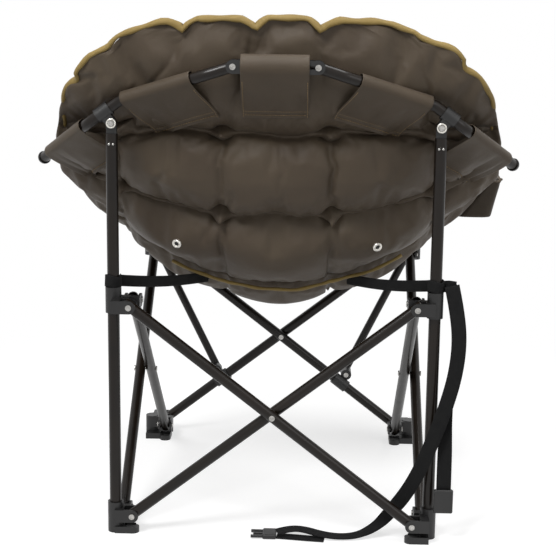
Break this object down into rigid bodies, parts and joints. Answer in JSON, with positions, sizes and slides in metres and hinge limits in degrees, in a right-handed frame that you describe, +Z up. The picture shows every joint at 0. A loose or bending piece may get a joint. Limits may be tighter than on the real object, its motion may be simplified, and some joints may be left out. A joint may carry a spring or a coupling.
{
  "type": "padded folding camping chair",
  "caption": "Padded bowl-shaped camping chair on a folding scissor frame of steel tube, with a hinged hoop behind the backrest, a cup pouch and a closure strap.",
  "frame": {"origin": "On the floor under the middle of the chair's outline, midway between the four feet.", "axes": "+Z up; +Y to the front, the way a sitter faces; +X to the right as seen from behind, as in the picture."},
  "size_m": [0.833, 0.673, 0.8845],
  "materials": {
    "tube": "satin black-bronze powder coat",
    "moulding": "black moulded plastic, slightly glossy",
    "rivet": "bright plated rivet",
    "padded_cloth": "taupe coated polyester, quilted, tan piping",
    "cloth": "taupe coated polyester with stitched hems",
    "webbing": "black woven webbing"
  },
  "bodies": {
    "left_post": {"post_left": "tube", "foot_rear_left": "moulding", "post_plug_left": "moulding", "back_pad": "padded_cloth"},
    "right_post": {"post_right": "tube", "foot_rear_right": "moulding", "post_plug_right": "moulding"},
    "rear_rising": {"rear_bar_rising": "tube", "rear_bar_rising_rivets": "rivet"},
    "rear_falling": {"rear_bar_falling": "tube", "rear_bar_falling_rivets": "rivet"},
    "left_collar": {"collar_left": "moulding", "seat_tie_left": "webbing"},
    "right_collar": {"collar_right": "moulding", "seat_tie_right": "webbing", "closure_strap": "webbing", "strap_tail": "webbing", "short_strap": "webbing", "buckle_socket": "moulding", "buckle_tongue": "moulding"},
    "left_rising": {"left_bar_rising": "tube", "left_bar_rising_rivets": "rivet"},
    "left_falling": {"left_bar_falling": "tube", "left_bar_falling_rivets": "rivet"},
    "right_rising": {"right_bar_rising": "tube", "right_bar_rising_rivets": "rivet"},
    "right_falling": {"right_bar_falling": "tube", "right_bar_falling_rivets": "rivet"},
    "front_left_foot": {"foot_front_left": "moulding"},
    "front_right_foot": {"foot_front_right": "moulding"},
    "front_left_hub": {"hub_front_left": "moulding"},
    "front_right_hub": {"hub_front_right": "moulding"},
    "front_rising": {"front_bar_rising": "tube", "front_bar_rising_rivets": "rivet", "strut_bracket_left": "moulding"},
    "front_falling": {"front_bar_falling": "tube", "front_bar_falling_rivets": "rivet", "strut_bracket_right": "moulding"},
    "left_strut": {"strut_left": "tube", "strut_tip_left": "moulding"},
    "right_strut": {"strut_right": "tube", "strut_tip_right": "moulding"},
    "left_back_bar": {"back_bar_left": "tube", "post_bracket_left": "moulding", "back_bar_rivets_left": "rivet", "hoop_tip_left": "moulding", "inner_sleeve_left": "cloth", "outer_sleeve_left": "cloth"},
    "right_back_bar": {"back_bar_right": "tube", "post_bracket_right": "moulding", "back_bar_rivets_right": "rivet", "hoop_tip_right": "moulding", "inner_sleeve_right": "cloth", "outer_sleeve_right": "cloth"},
    "centre_bar": {"centre_bar": "tube", "knuckle_left": "moulding", "knuckle_right": "moulding", "centre_sleeve": "cloth"},
    "seat": {"seat_pad": "padded_cloth", "cup_pouch": "cloth"}
  },
  "joints": [
    {"name": "rear_rising_at_left_foot", "type": "hinge", "parent": "left_post", "child": "rear_rising", "pos_m": [-0.24, -0.275, 0.032], "axis": [0, -1, 0], "range_deg": [0, 31], "deforming": ["back_pad", "seat_pad", "cup_pouch", "inner_sleeve_left", "outer_sleeve_left", "inner_sleeve_right", "outer_sleeve_right", "centre_sleeve", "seat_tie_left", "seat_tie_right", "closure_strap", "strap_tail", "short_strap", "buckle_socket", "buckle_tongue"]},
    {"name": "rear_crossing", "type": "hinge", "parent": "rear_rising", "child": "rear_falling", "pos_m": [0, -0.285, 0.2185], "axis": [0, -1, 0], "range_deg": [-62, 0]},
    {"name": "rear_falling_at_right_foot", "type": "hinge", "parent": "rear_falling", "child": "right_post", "pos_m": [0.24, -0.295, 0.032], "axis": [0, -1, 0], "range_deg": [0, 31]},
    {"name": "rear_falling_at_left_collar", "type": "hinge", "parent": "rear_falling", "child": "left_collar", "pos_m": [-0.24, -0.295, 0.405], "axis": [0, -1, 0], "range_deg": [0, 31]},
    {"name": "rear_rising_at_right_collar", "type": "hinge", "parent": "rear_rising", "child": "right_collar", "pos_m": [0.24, -0.275, 0.405], "axis": [0, -1, 0], "range_deg": [-31, 0]},
    {"name": "left_rising_at_rear_foot", "type": "hinge", "parent": "left_post", "child": "left_rising", "pos_m": [-0.26, -0.24, 0.032], "axis": [1, 0, 0], "range_deg": [0, 31]},
    {"name": "left_crossing", "type": "hinge", "parent": "left_rising", "child": "left_falling", "pos_m": [-0.25, 0, 0.2185], "axis": [1, 0, 0], "range_deg": [-62, 0]},
    {"name": "left_falling_at_front_foot", "type": "hinge", "parent": "left_falling", "child": "front_left_foot", "pos_m": [-0.24, 0.24, 0.032], "axis": [1, 0, 0], "range_deg": [0, 31]},
    {"name": "left_rising_at_front_hub", "type": "hinge", "parent": "left_rising", "child": "front_left_hub", "pos_m": [-0.26, 0.24, 0.405], "axis": [1, 0, 0], "range_deg": [-31, 0]},
    {"name": "right_rising_at_rear_foot", "type": "hinge", "parent": "right_post", "child": "right_rising", "pos_m": [0.26, -0.24, 0.032], "axis": [1, 0, 0], "range_deg": [0, 31]},
    {"name": "right_crossing", "type": "hinge", "parent": "right_rising", "child": "right_falling", "pos_m": [0.25, 0, 0.2185], "axis": [1, 0, 0], "range_deg": [-62, 0]},
    {"name": "right_falling_at_front_foot", "type": "hinge", "parent": "right_falling", "child": "front_right_foot", "pos_m": [0.24, 0.24, 0.032], "axis": [1, 0, 0], "range_deg": [0, 31]},
    {"name": "right_rising_at_front_hub", "type": "hinge", "parent": "right_rising", "child": "front_right_hub", "pos_m": [0.26, 0.24, 0.405], "axis": [1, 0, 0], "range_deg": [-31, 0]},
    {"name": "front_rising_at_left_foot", "type": "hinge", "parent": "front_left_foot", "child": "front_rising", "pos_m": [-0.24, 0.295, 0.032], "axis": [0, -1, 0], "range_deg": [0, 31]},
    {"name": "front_crossing", "type": "hinge", "parent": "front_rising", "child": "front_falling", "pos_m": [0, 0.285, 0.2185], "axis": [0, -1, 0], "range_deg": [-62, 0]},
    {"name": "left_strut_pivot", "type": "hinge", "parent": "front_rising", "child": "left_strut", "pos_m": [-0.13707, 0.322, 0.13731], "axis": [0, -1, 0], "range_deg": [-57, 0]},
    {"name": "right_strut_pivot", "type": "hinge", "parent": "front_falling", "child": "right_strut", "pos_m": [0.13707, 0.322, 0.13731], "axis": [0, -1, 0], "range_deg": [0, 57]},
    {"name": "left_back_bar_at_post", "type": "hinge", "parent": "left_post", "child": "left_back_bar", "pos_m": [-0.27, -0.27, 0.707], "axis": [0, -1, 0], "range_deg": [0, 45.7]},
    {"name": "right_back_bar_at_post", "type": "hinge", "parent": "right_post", "child": "right_back_bar", "pos_m": [0.27, -0.27, 0.707], "axis": [0, -1, 0], "range_deg": [-45.7, 0]},
    {"name": "centre_bar_knuckle", "type": "hinge", "parent": "left_back_bar", "child": "centre_bar", "pos_m": [-0.068, -0.32, 0.804], "axis": [0, -1, 0], "range_deg": [-45.7, 0]},
    {"name": "seat_fold", "type": "hinge", "parent": "left_post", "child": "seat", "pos_m": [0, -0.098, 0.395], "axis": [1, 0, 0], "range_deg": [0, 60]}
  ],
  "couplings": [
    {"joint": "rear_crossing", "follows": "rear_rising_at_left_foot", "ratio": -2},
    {"joint": "rear_falling_at_right_foot", "follows": "rear_rising_at_left_foot", "ratio": 1},
    {"joint": "rear_falling_at_left_collar", "follows": "rear_rising_at_left_foot", "ratio": 1},
    {"joint": "rear_rising_at_right_collar", "follows": "rear_rising_at_left_foot", "ratio": -1},
    {"joint": "left_rising_at_rear_foot", "follows": "rear_rising_at_left_foot", "ratio": 1},
    {"joint": "left_crossing", "follows": "rear_rising_at_left_foot", "ratio": -2},
    {"joint": "left_falling_at_front_foot", "follows": "rear_rising_at_left_foot", "ratio": 1},
    {"joint": "left_rising_at_front_hub", "follows": "rear_rising_at_left_foot", "ratio": -1},
    {"joint": "right_rising_at_rear_foot", "follows": "rear_rising_at_left_foot", "ratio": 1},
    {"joint": "right_crossing", "follows": "rear_rising_at_left_foot", "ratio": -2},
    {"joint": "right_falling_at_front_foot", "follows": "rear_rising_at_left_foot", "ratio": 1},
    {"joint": "right_rising_at_front_hub", "follows": "rear_rising_at_left_foot", "ratio": -1},
    {"joint": "front_rising_at_left_foot", "follows": "rear_rising_at_left_foot", "ratio": 1},
    {"joint": "front_crossing", "follows": "rear_rising_at_left_foot", "ratio": -2},
    {"joint": "left_strut_pivot", "follows": "rear_rising_at_left_foot", "ratio": -1.8387},
    {"joint": "right_strut_pivot", "follows": "rear_rising_at_left_foot", "ratio": 1.8387},
    {"joint": "left_back_bar_at_post", "follows": "rear_rising_at_left_foot", "ratio": 1.4741},
    {"joint": "right_back_bar_at_post", "follows": "rear_rising_at_left_foot", "ratio": -1.4741},
    {"joint": "centre_bar_knuckle", "follows": "rear_rising_at_left_foot", "ratio": -1.4741},
    {"joint": "seat_fold", "follows": "rear_rising_at_left_foot", "ratio": 1.9355}
  ]
}
